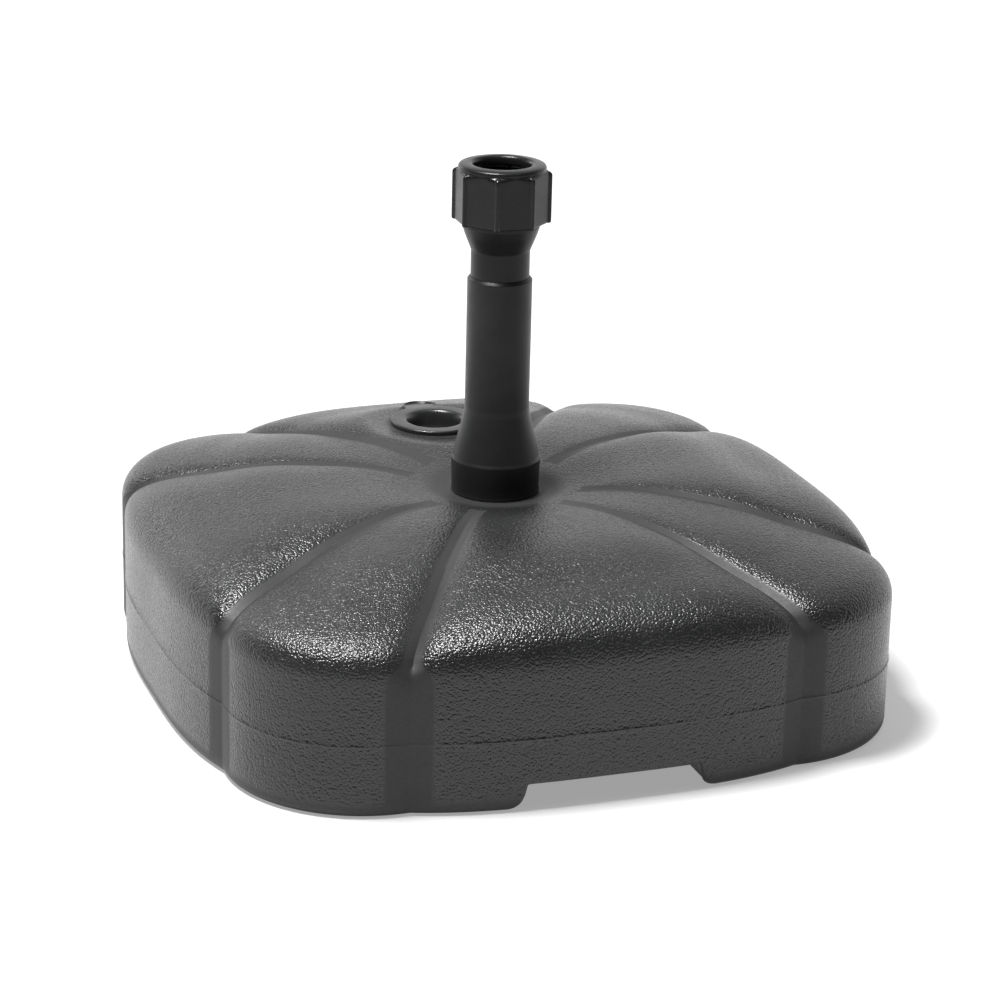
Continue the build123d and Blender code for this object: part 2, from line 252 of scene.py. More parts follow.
# ------------------------------------------------------------------ tank
def tank_rows(deg, skin):
    """Closed upright outlines of the tank: from the hub seat down the well, under the base, up the wall and over the petals."""
    R = reach(deg)
    c, s = np.cos(np.radians(deg)), np.sin(np.radians(deg))
    n = len(deg)
    rows = []

    def add(r, z):
        rows.append((np.broadcast_to(np.asarray(r, float), (n,)).copy(), np.broadcast_to(np.asarray(z, float), (n,)).copy()))

    k = skin
    if k == 0:
        add(28.0, SEAT_Z); add(WELL_R + 1.2, SEAT_Z); add(WELL_R + 0.3, SEAT_Z - 0.4); add(WELL_R, SEAT_Z - 1.2)
        for z in (110, 80, 52, 30): add(WELL_R, z)
        add(WELL_R, POCKET_Z + 0.8); add(WELL_R + 0.8, POCKET_Z)
        add(34.0, POCKET_Z); add(POCKET_R - 1.5, POCKET_Z); add(POCKET_R - 0.3, POCKET_Z - 0.4); add(POCKET_R, POCKET_Z - 1.6)
        add(POCKET_R, 14.0); add(POCKET_R, UNDER_Z + 2.0); add(POCKET_R + 0.6, UNDER_Z + 0.6); add(POCKET_R + 2.2, UNDER_Z)
        for r in np.linspace(60, 188, 9): add(r, UNDER_Z)
        add(UNDER_R - 1.6, UNDER_Z)
        base = [UNDER_R, UNDER_R + 0.8, UNDER_R + 1.8]
        drop = [UNDER_Z - 0.8, 0.8, 0.0]
    else:
        add(WELL_R + k + 2, SEAT_Z - k); add(WELL_R + k, SEAT_Z - k - 2)
        for z in (90, 60): add(WELL_R + k, z)
        add(WELL_R + k, POCKET_Z + k + 2); add(WELL_R + k + 2, POCKET_Z + k)
        add(POCKET_R + k - 3, POCKET_Z + k); add(POCKET_R + k, POCKET_Z + k - 3); add(POCKET_R + k, UNDER_Z + k + 2); add(POCKET_R + k + 2, UNDER_Z + k)
        for r in np.linspace(70, 180, 6): add(r, UNDER_Z + k)
        add(UNDER_R + k - 8, UNDER_Z + k)
        base = [UNDER_R + k, UNDER_R + k + 0.8, UNDER_R + k + 1.8]
        drop = [UNDER_Z + k - 0.8, k + 0.8, k]
    for r, z in zip(base, drop):
        g = grip(r * c, r * s)
        add(r, np.maximum(z, g + k if k else g))
    w = R - k
    gw = grip(w * c, w * s)
    fr = np.where(gw > 0.05, 7.0 - 4.2 * gw / GRIP_H, 7.0) if k == 0 else np.full(n, 5.0)
    inner = base[-1]
    m = 16 if k == 0 else 6
    for t in np.linspace(0, 1, m + 1)[1:]:
        r = inner + (w - fr - inner) * t
        add(r, grip(r * c, r * s) + k)
    arcs = (15, 30, 45, 60, 75) if k == 0 else (45,)
    for a in arcs:
        a = math.radians(a)
        r = w - fr + fr * math.sin(a)
        add(r, gw + k + fr * (1 - math.cos(a)))
    low = gw + k + fr
    if k == 0:
        th = np.radians(deg)
        uneven = 0.62 + 0.22 * np.sin(7 * th + 1.0) + 0.16 * np.sin(17 * th + 2.2)
        fl = PARTING_W * np.clip(uneven, 0.15, 0.98)
        weld = 0.45 * np.exp(-((((deg % 180.0) - 90.0) * math.pi / 180.0 * w) / 1.1) ** 2)
        for t in np.linspace(0, 1, 9)[:-1]:
            fade = math.sin(math.pi * min(max((t - 0.1) / 0.9, 0), 1)) ** 0.6
            add(w + np.minimum(weld * fade, 0.5), low + (PARTING_Z - 1.5 - low) * t)
        add(w, PARTING_Z - 1.5); add(w + 0.25 * fl, PARTING_Z - 0.8); add(w + fl, PARTING_Z - 0.3)
        add(w + fl, PARTING_Z + 0.3); add(w + 0.25 * fl, PARTING_Z + 0.8); add(w, PARTING_Z + 1.5)
        for z in np.linspace(PARTING_Z + 1.5, WALL_TOP, 9)[1:-1]: add(w, z)
    else:
        for t in np.linspace(0, 1, 5)[:-1]: add(w, low + (WALL_TOP - low) * t)
    first_top = len(rows)
    r, z = top_curve(deg)
    if k:
        r = r[::3].copy(); z = z[::3].copy()
        r = np.minimum(r - k * np.clip(1 - (WALL_TOP + 34 - z) * 0 - (R - r) / SHOULDER, 0, 1), 1e9)
        z = z - k * np.clip(0.15 + (R - r) / SHOULDER, 0, 1)
        keep = [i for i in range(len(r)) if r[i].min() > WELL_R + k + 6]
        r, z = r[keep], z[keep]
    for i in range(len(r) if k else len(r)): add(r[i], z[i])
    return rows, first_top


def plug_outline(phi):
    """Edge of the recess about the filler axis: the flange's circle joined to the pull tab's slot. phi from +Y."""
    a = np.abs((np.asarray(phi, float) + math.pi) % (2 * math.pi) - math.pi)
    base = np.full(a.shape, 33.2)
    sa, ca = np.sin(a), np.cos(a)
    side = np.where((a < math.pi / 2) & (sa > 1e-6), 13.3 / np.maximum(sa, 1e-6), 0.0)
    y = side * ca
    end = 39.0 * ca + np.sqrt(np.maximum(13.3 ** 2 - (39.0 * sa) ** 2, 0.0))
    slot = np.where((y <= 39.0) & (a < math.pi / 2) & (sa > 1e-6), side, np.where(39.0 * sa <= 13.3, end, 0.0))
    slot = np.where(a > math.pi / 2, 0.0, slot)
    kk = 2.0
    h = np.clip(0.5 + 0.5 * (slot - base) / kk, 0, 1)
    return base * (1 - h) + slot * h + kk * h * (1 - h)


def in_poly(px, py, poly):
    inside = np.zeros(len(px), bool)
    x1, y1 = poly[:, 0], poly[:, 1]
    x2, y2 = np.roll(x1, -1), np.roll(y1, -1)
    for a, b, c, d in zip(x1, y1, x2, y2):
        cond = (b > py) != (d > py)
        with np.errstate(divide="ignore", invalid="ignore"):
            xi = (c - a) * (py - b) / (d - b) + a
        inside ^= cond & (px < xi)
    return inside


def loop_from(faces, ids):
    """Ordered boundary loops of a face set."""
    seen = {}
    for f in faces:
        for a, b in zip(f, list(f[1:]) + [f[0]]):
            seen[(a, b)] = seen.get((a, b), 0) + 1
    nxt = {}
    for (a, b) in seen:
        if (b, a) not in seen:
            nxt.setdefault(a, []).append(b)
    loops = []
    while nxt:
        a = next(iter(nxt)); loop = [a]
        while True:
            bs = nxt[loop[-1]]
            b = bs.pop()
            if not bs: del nxt[loop[-1]]
            if b == loop[0]: break
            loop.append(b)
        loops.append(loop)
    return loops


def dip(x, y):
    """Finger dip under the pull tab: a shallow spherical bowl."""
    d2 = x ** 2 + (y - (FILL[1] + 41.0)) ** 2
    return np.where(d2 < 18.0 ** 2, FILL_Z + 12.0 - np.sqrt(np.maximum(18.0 ** 2 - d2, 0)), 1e3)


def smin(a, b, k):
    h = np.clip(0.5 + 0.5 * (b - a) / k, 0, 1)
    return b * (1 - h) + a * h - k * h * (1 - h)


def build_skin(deg, skin, hole):
    """Grid of one skin with a hole cut for the filler. Returns vertices, faces and the hole's loop."""
    rows, first = tank_rows(deg, skin)
    n, m = len(deg), len(rows)
    c, s = np.cos(np.radians(deg)), np.sin(np.radians(deg))
    V = np.empty((m, n, 3))
    for i, (r, z) in enumerate(rows):
        V[i, :, 0], V[i, :, 1], V[i, :, 2] = r * c, r * s, z
    V[first:, :, 2] -= boss(V[first:, :, 0], V[first:, :, 1])
    if skin:
        d = np.hypot(V[..., 0], V[..., 1] - (FILL[1] + 14.0))
        drop = 11.0 * (1 - sstep((d - 44.0) / 22.0))
        V[first:, :, 2] -= drop[first:]
    P = V.reshape(-1, 3)
    idx = np.arange(m * n).reshape(m, n)
    dx, dy = P[:, 0] - FILL[0], P[:, 1] - FILL[1]
    near = (np.hypot(dx, dy) < hole(np.arctan2(dx, dy))) & (P[:, 2] > 100.0)
    near = near.reshape(m, n)
    near[:first] = False
    faces = []
    for i in range(m):
        i2 = (i + 1) % m
        for j in range(n):
            j2 = (j + 1) % n
            if near[i, j] or near[i, j2] or near[i2, j] or near[i2, j2]:
                continue
            faces.append((idx[i, j], idx[i, j2], idx[i2, j2], idx[i2, j]))
    loops = loop_from([list(map(int, f)) for f in faces], None)
    loops = [l for l in loops if len(l) > 20]
    return P, faces, max(loops, key=len), first * n


def stitch(P, grid_loop, ring_ids):
    """Triangles between the grid's hole and a ring inside it."""
    ids = list(grid_loop) + list(ring_ids)
    pts = [Vector((P[i][0], P[i][1])) for i in ids]
    na, nb = len(grid_loop), len(ring_ids)
    edges = [(k, (k + 1) % na) for k in range(na)] + [(na + k, na + (k + 1) % nb) for k in range(nb)]
    _, _, tri, orig, _, _ = delaunay_2d_cdt(pts, edges, [], 0, 1e-6)
    outv = _
    vco, _, tri, vorig, _, _ = delaunay_2d_cdt(pts, edges, [], 0, 1e-6)
    T = [[vorig[v][0] for v in t] for t in tri if all(vorig[v] for v in t)]
    C = np.array([np.mean([[pts[v].x, pts[v].y] for v in t], axis=0) for t in T])
    A = np.array([[P[i][0], P[i][1]] for i in grid_loop])
    B = np.array([[P[i][0], P[i][1]] for i in ring_ids])
    ok = in_poly(C[:, 0], C[:, 1], A) & ~in_poly(C[:, 0], C[:, 1], B)
    T = [t for t, o in zip(T, ok) if o]
    # slivers over a straight run of the rim lie outside the patch: take them off
    rim = {frozenset(e) for e in edges}

    def sides(t):
        return [frozenset((t[k], t[(k + 1) % 3])) for k in range(3)]

    def area(t):
        a, b, c = (pts[v] for v in t)
        return abs((b.x - a.x) * (c.y - a.y) - (c.x - a.x) * (b.y - a.y)) / 2
    while True:
        use = {}
        for t in T:
            for e in sides(t): use[e] = use.get(e, 0) + 1
        keep = [t for t in T if area(t) > 0.2 or not any(use[e] == 1 and e not in rim for e in sides(t))]
        if len(keep) == len(T): break
        T = keep
    return [tuple(ids[v] for v in t) for t in T]


def make_tank():
    deg = petal_columns()
    out_off, in_off = 9.5, 0.0
    P, F, loop, _ = build_skin(deg, 0.0, lambda phi: plug_outline(phi) + out_off)
    n_out = len(P)
    deg_in = petal_columns()[::3]
    Q, G, loop2, _ = build_skin(deg_in, SKIN, lambda phi: np.full(np.shape(phi), 32.0))
    # rings of the recess, from the bottom of the neck outwards
    N = 240
    phi = np.linspace(0, 2 * math.pi, N, endpoint=False)
    phi = phi - 0.35 * np.sin(phi) * 0.5
    out = plug_outline(phi)
    ux, uy = np.sin(phi), np.cos(phi)

    def ring(rad, z=None, cap=None):
        x, y = FILL[0] + rad * ux, FILL[1] + rad * uy
        t = top_z(x, y)
        if z is None:
            zz = t
        else:
            zz = np.minimum(z, t)
        return x, y, zz, t

    R = []
    seat = FILL_Z
    for rad, z in ((FILL_R, FILL_Z - FILL_NECK), (FILL_R, 128.0), (FILL_R, 134.0), (FILL_R, 136.9), (FILL_R + 0.25, 137.6), (FILL_R + 0.9, 138.0)):
        x, y, zz, t = ring(np.full(N, rad), z)
        R.append((x, y, np.full(N, z) if z < 138 else zz))
    for f in (0.15, 0.3, 0.45, 0.6, 0.75, 0.88, 1.0):
        rad = (FILL_R + 0.9) * (1 - f) + (out - 0.9) * f
        x, y, zz, t = ring(rad, seat)
        zz = smin(np.minimum(seat, t - 0.1), dip(x, y), 1.0) if f > 0 else zz
        R.append((x, y, zz))
    edge_top = ring(out + 1.0)[3]
    for off, f in ((-0.35, 0.06), (-0.05, 0.22), (0.0, 0.5), (0.0, 0.74), (0.28, 0.92), (1.0, 1.0)):
        x, y, zz, t = ring(out + off)
        floor = np.minimum(seat, t - 0.1)
        z = floor * (1 - f) + t * f
        R.append((x, y, smin(z, dip(x, y), 1.0)))
    for off in (2.4, 4.0, 5.6, 7.2, 8.6):
        x, y, zz, t = ring(out + off)
        R.append((x, y, smin(t, dip(x, y), 1.0)))
    verts = [P, Q]
    base = n_out + len(Q)
    ring_ids = []
    for x, y, z in R:
        verts.append(np.stack([x, y, z], 1))
        ring_ids.append(list(range(base, base + N)))
        base += N
    # outside of the neck, down from the inner skin
    inner_rings = []
    x0, y0 = FILL[0] + 24.9 * ux, FILL[1] + 24.9 * uy

    def inner_top(x, y):
        d = np.hypot(x, y - (FILL[1] + 14.0))
        return top_z(x, y) - SKIN - 11.0 * (1 - sstep((d - 44.0) / 22.0))

    for rad, z in ((24.9, FILL_Z - FILL_NECK), (24.9, None), (26.0, None), (29.5, None)):
        x, y = FILL[0] + rad * ux, FILL[1] + rad * uy
        it = inner_top(x, y)
        zz = np.full(N, z) if z is not None else (it - (1.0 if rad == 24.9 else 0.0))
        verts.append(np.stack([x, y, zz], 1))
        inner_rings.append(list(range(base, base + N)))
        base += N
    V = np.concatenate(verts)
    faces = [tuple(map(int, f)) for f in F]
    faces += [tuple(int(v) + n_out for v in f) for f in G]
    for a, b in zip(ring_ids, ring_ids[1:]):
        for j in range(N):
            faces.append((a[j], a[(j + 1) % N], b[(j + 1) % N], b[j]))
    for a, b in zip(inner_rings, inner_rings[1:]):
        for j in range(N):
            faces.append((a[j], a[(j + 1) % N], b[(j + 1) % N], b[j]))
    a, b = ring_ids[0], inner_rings[0]
    for j in range(N):
        faces.append((a[j], a[(j + 1) % N], b[(j + 1) % N], b[j]))
    faces += stitch(V, loop, ring_ids[-1])
    faces += stitch(V, [i + n_out for i in loop2], inner_rings[-1])
    # masks for the material
    x, y, z = V[:, 0], V[:, 1], V[:, 2]
    r = np.hypot(x, y); th = np.degrees(np.arctan2(y, x))
    off = groove_off(th, r)
    wall = 1 - sstep((z - 92.0) / 14.0)
    half = 5.0 + 9.0 * wall
    grain = sstep((off - half) / 2.2)
    grain = np.where(r < 60, sstep((r - 40.0) / 16.0), grain)
    dq = np.hypot(x - FILL[0], y - FILL[1]) - plug_outline(np.arctan2(x - FILL[0], y - FILL[1]))
    grain = np.where((z > 100) & (dq < 12), grain * sstep((dq - 1.0) / 3.0), grain)
    grain = np.where(z < 8, 0.15, grain)
    inside = np.zeros(len(V)); inside[n_out:n_out + len(Q)] = 1
    grain = grain * (1 - inside)
    used = np.zeros(len(V), bool)
    for f in faces:
        for v in f: used[v] = True
    remap = np.cumsum(used) - 1
    faces = [tuple(int(remap[v]) for v in f) for f in faces]
    ob = to_object("tank_shell", V[used], faces, {"grain": grain[used], "groove": np.exp(-(off[used] / 3.0) ** 2) * (z[used] > 60)})
    finish_mesh(ob, 48.0)
    return ob


# ------------------------------------------------------------------ lathe work
def lathe(name, prof, seg=128, mod=None, closed=True):
    """Turned piece from (radius, height) points; mod(phi, k, r) can shape a row."""
    prof = list(prof)
    phi = np.linspace(0, 2 * math.pi, seg, endpoint=False)
    V = []
    for k, (r, z) in enumerate(prof):
        rr = np.full(seg, float(r)); zz = np.full(seg, float(z))
        if mod is not None:
            rr, zz = mod(phi, k, rr, zz)
        V.append(np.stack([rr * np.cos(phi), rr * np.sin(phi), zz], 1))
    m = len(prof)
    F = []
    for k in range(m if closed else m - 1):
        k2 = (k + 1) % m
        for j in range(seg):
            j2 = (j + 1) % seg
            F.append((k * seg + j, k * seg + j2, k2 * seg + j2, k2 * seg + j))
    return to_object(name, np.concatenate(V), F)


def rounded(points, radii, steps=5):
    """A closed outline with its corners rounded."""
    out = []
    n = len(points)
    for i in range(n):
        p0, p1, p2 = (np.array(points[(i + d) % n], float) for d in (-1, 0, 1))
        rad = radii[i] if isinstance(radii, (list, tuple)) else radii
        a, b = p0 - p1, p2 - p1
        la, lb = np.linalg.norm(a), np.linalg.norm(b)
        if rad <= 0 or la < 1e-6 or lb < 1e-6:
            out.append(tuple(p1)); continue
        a, b = a / la, b / lb
        ang = math.acos(max(-1, min(1, float(a @ b))))
        if ang > math.pi - 0.02:
            out.append(tuple(p1)); continue
        t = min(rad / math.tan(ang / 2), la * 0.48, lb * 0.48)
        q0, q2 = p1 + a * t, p1 + b * t
        for k in range(steps + 1):
            s = k / steps
            out.append(tuple((1 - s) ** 2 * q0 + 2 * s * (1 - s) * p1 + s ** 2 * q2))
    return out


def make_stem():
    pts = [(19.0, 8.0), (22.3, 8.0), (22.3, 131.9), (31.0, 131.9), (31.0, 133.2), (30.75, 134.6), (30.75, 138.5), (31.4, 156.4),
           (30.2, 158.6), (22.9, 190.0), (22.5, 194.0), (22.5, 285.5), (20.8, 287.4), (20.4, 287.5), (19.0, 287.5)]
    rad = [0.4, 0.8, 0.2, 0.6, 0.6, 0.5, 3.0, 1.6, 2.0, 8.0, 8.0, 0.7, 0.5, 0.1, 0.3]
    prof = rounded(pts, rad, 6)

    def mod(phi, k, r, z):
        # faint mould seam at the two sides
        seam = np.exp(-((np.sin(phi - math.radians(70))) / 0.012) ** 2)
        lift_ = np.where((z > 140) & (r > 22.2), 0.10 * seam, 0.0)
        return r + lift_, z
    extra = []
    for (r0, z0), (r1, z1) in zip(prof, prof[1:] + prof[:1]):
        extra.append((r0, z0))
        d = math.hypot(r1 - r0, z1 - z0)
        k = int(d // 12)
        for i in range(1, k + 1):
            extra.append((r0 + (r1 - r0) * i / (k + 1), z0 + (z1 - z0) * i / (k + 1)))
    return finish_mesh(lathe("stem", extra, 192, mod), 40)


def make_neck():
    pts = [(16.5, 234.0), (17.7, 232.0), (18.2, 232.0), (19.0, 235.0), (19.0, 287.5), (20.4, 287.5), (20.4, 306.2), (25.0, 317.6), (26.9, 323.5), (27.0, 337.0), (24.0, 337.0),
           (24.0, 329.0), (16.5, 329.0)]
    rad = [0.3, 0.3, 0.3, 0.8, 0.2, 0.35, 5.0, 6.0, 2.5, 0.7, 0.5, 0.8, 0.6]
    return finish_mesh(lathe("neck", rounded(pts, rad, 6), 160), 40)


KNOB_LOW, KNOB_TOP, KNOB_R, SIDES, KNOB_TURN = 326.4, 367.0, 34.4, 8, math.radians(20.5)


def make_knob():
    seg = 640
    rows = []
    phi = np.linspace(0, 2 * math.pi, seg, endpoint=False)
    step = 2 * math.pi / SIDES
    loc = (phi - KNOB_TURN + step / 2) % step - step / 2          # 0 on a rib
    fl = (phi - KNOB_TURN) % step - step / 2                       # 0 in the middle of a face
    flat = (KNOB_R - 1.3) * math.cos(step / 2) / np.cos(fl)
    arm = KNOB_R - 1.7
    rib = arm * np.cos(loc) + np.sqrt(np.maximum(1.7 ** 2 - (arm * np.sin(loc)) ** 2, 0))
    rib = np.where(np.abs(arm * np.sin(loc)) < 1.7, rib, 0.0)
    h = np.clip(0.5 + 0.5 * (rib - flat) / 0.5, 0, 1)
    face = np.minimum(flat * (1 - h) + rib * h + 0.5 * h * (1 - h), KNOB_R)

    def row(rad, z):
        rad = np.broadcast_to(np.asarray(rad, float), (seg,)); z = np.broadcast_to(np.asarray(z, float), (seg,))
        rows.append(np.stack([rad * np.cos(phi), rad * np.sin(phi), z], 1))

    bore = 27.35
    row(bore + 0.6, KNOB_LOW)
    row(29.0, KNOB_LOW)
    row(face - 2.0, KNOB_LOW); row(face - 0.9, KNOB_LOW + 0.05); row(face - 0.3, KNOB_LOW + 0.35); row(face - 0.05, KNOB_LOW + 1.0)
    for z in (328.6, 332, 338, 345, 352, 357, 360.0): row(face, z)
    # the ribs and corners end under a round rim
    rim = 30.35
    for f, z in ((0.10, 361.0), (0.28, 361.7), (0.55, 362.25), (0.82, 362.6), (1.0, 362.9)):
        row(face * (1 - f) + np.minimum(rim, face) * f, z)
    for r, z in ((30.33, 363.8), (30.3, 364.6), (30.1, 365.3), (29.6, 365.9), (28.9, 366.25), (27.5, 366.6), (25.5, 366.9), (23.6, 367.0), (22.3, 366.95),
                 (21.2, 366.6), (20.4, 365.8), (19.9, 364.4), (19.7, 361.6), (20.0, 360.0), (21.2, 358.7), (24.0, 357.4), (bore, 356.5)):
        row(r, z)
    row(bore, 350); row(bore, 340); row(bore, 332); row(bore, 327.2)
    m = len(rows)
    F = []
    for k in range(m):
        k2 = (k + 1) % m
        for j in range(seg):
            j2 = (j + 1) % seg
            F.append((k * seg + j, k * seg + j2, k2 * seg + j2, k2 * seg + j))
    ob = to_object("hand_knob", np.concatenate(rows), F)
    return finish_mesh(ob, 55)


def make_plug():
    """Dished cup, rolled rim and pull tab as one skin."""
    N = 240
    phi = np.linspace(0, 2 * math.pi, N, endpoint=False)
    ux, uy = np.sin(phi), np.cos(phi)
    a = np.abs((phi + math.pi) % (2 * math.pi) - math.pi)
    sa, ca = np.sin(a), np.cos(a)
    side = np.where((a < math.pi / 2) & (sa > 1e-6), 12.5 / np.maximum(sa, 1e-6), 0.0)
    end = 39.0 * ca + np.sqrt(np.maximum(12.5 ** 2 - (39.0 * sa) ** 2, 0.0))
    slot = np.where((side * ca <= 39.0) & (a < math.pi / 2) & (sa > 1e-6), side, np.where(39.0 * sa <= 12.5, end, 0.0))
    slot = np.where(a > math.pi / 2, 0.0, slot)
    h = np.clip(0.5 + 0.5 * (slot - 32.5) / 1.4, 0, 1)
    out = 32.5 * (1 - h) + slot * h + 1.4 * h * (1 - h)
    tab = np.clip((out - 33.2) / 6.0, 0, 1)
    z0 = FILL_Z
    rows = []

    def row(rad, z):
        rad = np.broadcast_to(np.asarray(rad, float), (N,)); z = np.broadcast_to(np.asarray(z, float), (N,))
        rows.append(np.stack([FILL[0] + rad * ux, FILL[1] + rad * uy, z], 1))
    for r, z in ((0.05, 126.4), (8.0, 126.4), (13.6, 126.5), (16.4, 127.0), (17.7, 128.3), (18.3, 131.0), (18.8, 134.5), (19.4, 137.0), (20.2, 139.2), (20.9, 140.3), (21.6, 140.95), (22.5, 141.3), (23.6, 141.4), (27.0, 141.4), (29.4, 141.4)):
        row(r, z)
    t = tab
    down = 2.3 * sstep((out - 34.0) / 15.0)            # the tab follows the petal down

    def edge(e0, e1, z0_, z1_):
        rad = out - (e0 * (1 - t) + e1 * t)
        row(rad, z0_ * (1 - t) + (z1_ - down * sstep((rad - 33.0) / 16.0)) * t)
    ra = np.minimum(30.6, out - 3.4)
    row(ra, 141.38 * (1 - t) + 140.7 * t)
    rb = out - (0.95 * (1 - t) + 2.7 * t)
    for f in (0.33, 0.66):
        rad = ra * (1 - f) + rb * f
        row(rad, 141.36 * (1 - t) + (140.65 - down * sstep((rad - 33.0) / 16.0)) * t)
    edge(0.95, 2.7, 141.32, 140.65); edge(0.62, 2.3, 141.15, 141.2); edge(0.34, 1.7, 140.85, 141.7); edge(0.14, 1.0, 140.4, 141.75)
    edge(0.03, 0.35, 139.8, 141.4); edge(0.0, 0.0, 139.2, 140.6); row(out, 138.18); row(out - 0.3, 138.05)
    row(out - 1.2, 138.0); row(22.6, 138.0); row(21.6, 137.8); row(21.5, 137.0)
    for r, z in ((21.0, 133.0), (19.9, 132.5), (19.9, 129.5), (21.0, 129.0), (21.0, 124.6), (20.4, 123.3), (19.6, 123.0), (10.0, 123.0), (0.05, 123.0)):
        row(r, z)
    m = len(rows)
    F = []
    for k in range(m - 1):
        for j in range(N):
            j2 = (j + 1) % N
            F.append((k * N + j, k * N + j2, (k + 1) * N + j2, (k + 1) * N + j))
    F.append(tuple(range(N)))
    F.append(tuple((m - 1) * N + j for j in reversed(range(N))))
    ob = to_object("plug_cap", np.concatenate(rows), F)
    return finish_mesh(ob, 55)


# ------------------------------------------------------------------ materials
def new_mat(name):
    m = bpy.data.materials.new(name)
    m.use_nodes = True
    nt = m.node_tree
    for n in list(nt.nodes): nt.nodes.remove(n)
    out = nt.nodes.new("ShaderNodeOutputMaterial")
    bs = nt.nodes.new("ShaderNodeBsdfPrincipled")
    nt.links.new(bs.outputs[0], out.inputs[0])
    return m, nt, bs


class Nodes:
    def __init__(self, nt):
        self.nt = nt
        self.co = nt.nodes.new("ShaderNodeTexCoord").outputs["Object"]

    def noise(self, scale, detail=3.0, rough=0.55, vec=None):
        n = self.nt.nodes.new("ShaderNodeTexNoise")
        n.inputs["Scale"].default_value = scale
        n.inputs["Detail"].default_value = detail
        n.inputs["Roughness"].default_value = rough
        self.nt.links.new(vec or self.co, n.inputs["Vector"])
        return n.outputs["Fac"]

    def voronoi(self, scale, feature="F1", smooth=0.4, vec=None):
        n = self.nt.nodes.new("ShaderNodeTexVoronoi")
        n.feature = feature
        n.inputs["Scale"].default_value = scale
        if feature == "SMOOTH_F1":
            n.inputs["Smoothness"].default_value = smooth
        self.nt.links.new(vec or self.co, n.inputs["Vector"])
        return n.outputs["Distance"]

    def warp(self, scale, amount):
        n = self.nt.nodes.new("ShaderNodeTexNoise")
        n.inputs["Scale"].default_value = scale
        n.inputs["Detail"].default_value = 2.0
        self.nt.links.new(self.co, n.inputs["Vector"])
        s = self.nt.nodes.new("ShaderNodeVectorMath"); s.operation = "SUBTRACT"
        self.nt.links.new(n.outputs["Color"], s.inputs[0]); s.inputs[1].default_value = (0.5, 0.5, 0.5)
        k = self.nt.nodes.new("ShaderNodeVectorMath"); k.operation = "SCALE"
        self.nt.links.new(s.outputs[0], k.inputs[0]); k.inputs["Scale"].default_value = amount
        a = self.nt.nodes.new("ShaderNodeVectorMath"); a.operation = "ADD"
        self.nt.links.new(self.co, a.inputs[0]); self.nt.links.new(k.outputs[0], a.inputs[1])
        return a.outputs[0]

    def math(self, op, a, b=None, clamp=False):
        n = self.nt.nodes.new("ShaderNodeMath"); n.operation = op; n.use_clamp = clamp
        for i, v in enumerate((a, b)):
            if v is None: continue
            if isinstance(v, (int, float)): n.inputs[i].default_value = v
            else: self.nt.links.new(v, n.inputs[i])
        return n.outputs[0]

    def ramp(self, v, lo, hi, a=0.0, b=1.0):
        n = self.nt.nodes.new("ShaderNodeMapRange")
        n.inputs["From Min"].default_value = lo; n.inputs["From Max"].default_value = hi
        n.inputs["To Min"].default_value = a; n.inputs["To Max"].default_value = b
        self.nt.links.new(v, n.inputs["Value"])
        return n.outputs["Result"]

    def attr(self, name):
        n = self.nt.nodes.new("ShaderNodeAttribute"); n.attribute_name = name
        return n.outputs["Fac"]

    def mix(self, fac, a, b):
        n = self.nt.nodes.new("ShaderNodeMix"); n.data_type = "RGBA"
        n.inputs[6].default_value = (*a, 1) if isinstance(a, tuple) else (0, 0, 0, 1)
        n.inputs[7].default_value = (*b, 1) if isinstance(b, tuple) else (0, 0, 0, 1)
        if not isinstance(a, tuple): self.nt.links.new(a, n.inputs[6])
        if not isinstance(b, tuple): self.nt.links.new(b, n.inputs[7])
        if isinstance(fac, (int, float)): n.inputs[0].default_value = fac
        else: self.nt.links.new(fac, n.inputs[0])
        return n.outputs[2]

    def bump(self, height, strength, dist, normal=None):
        n = self.nt.nodes.new("ShaderNodeBump")
        n.inputs["Strength"].default_value = strength
        n.inputs["Distance"].default_value = dist
        self.nt.links.new(height, n.inputs["Height"])
        if normal is not None: self.nt.links.new(normal, n.inputs["Normal"])
        return n.outputs["Normal"]

    def pointy(self):
        return self.nt.nodes.new("ShaderNodeNewGeometry").outputs["Pointiness"]


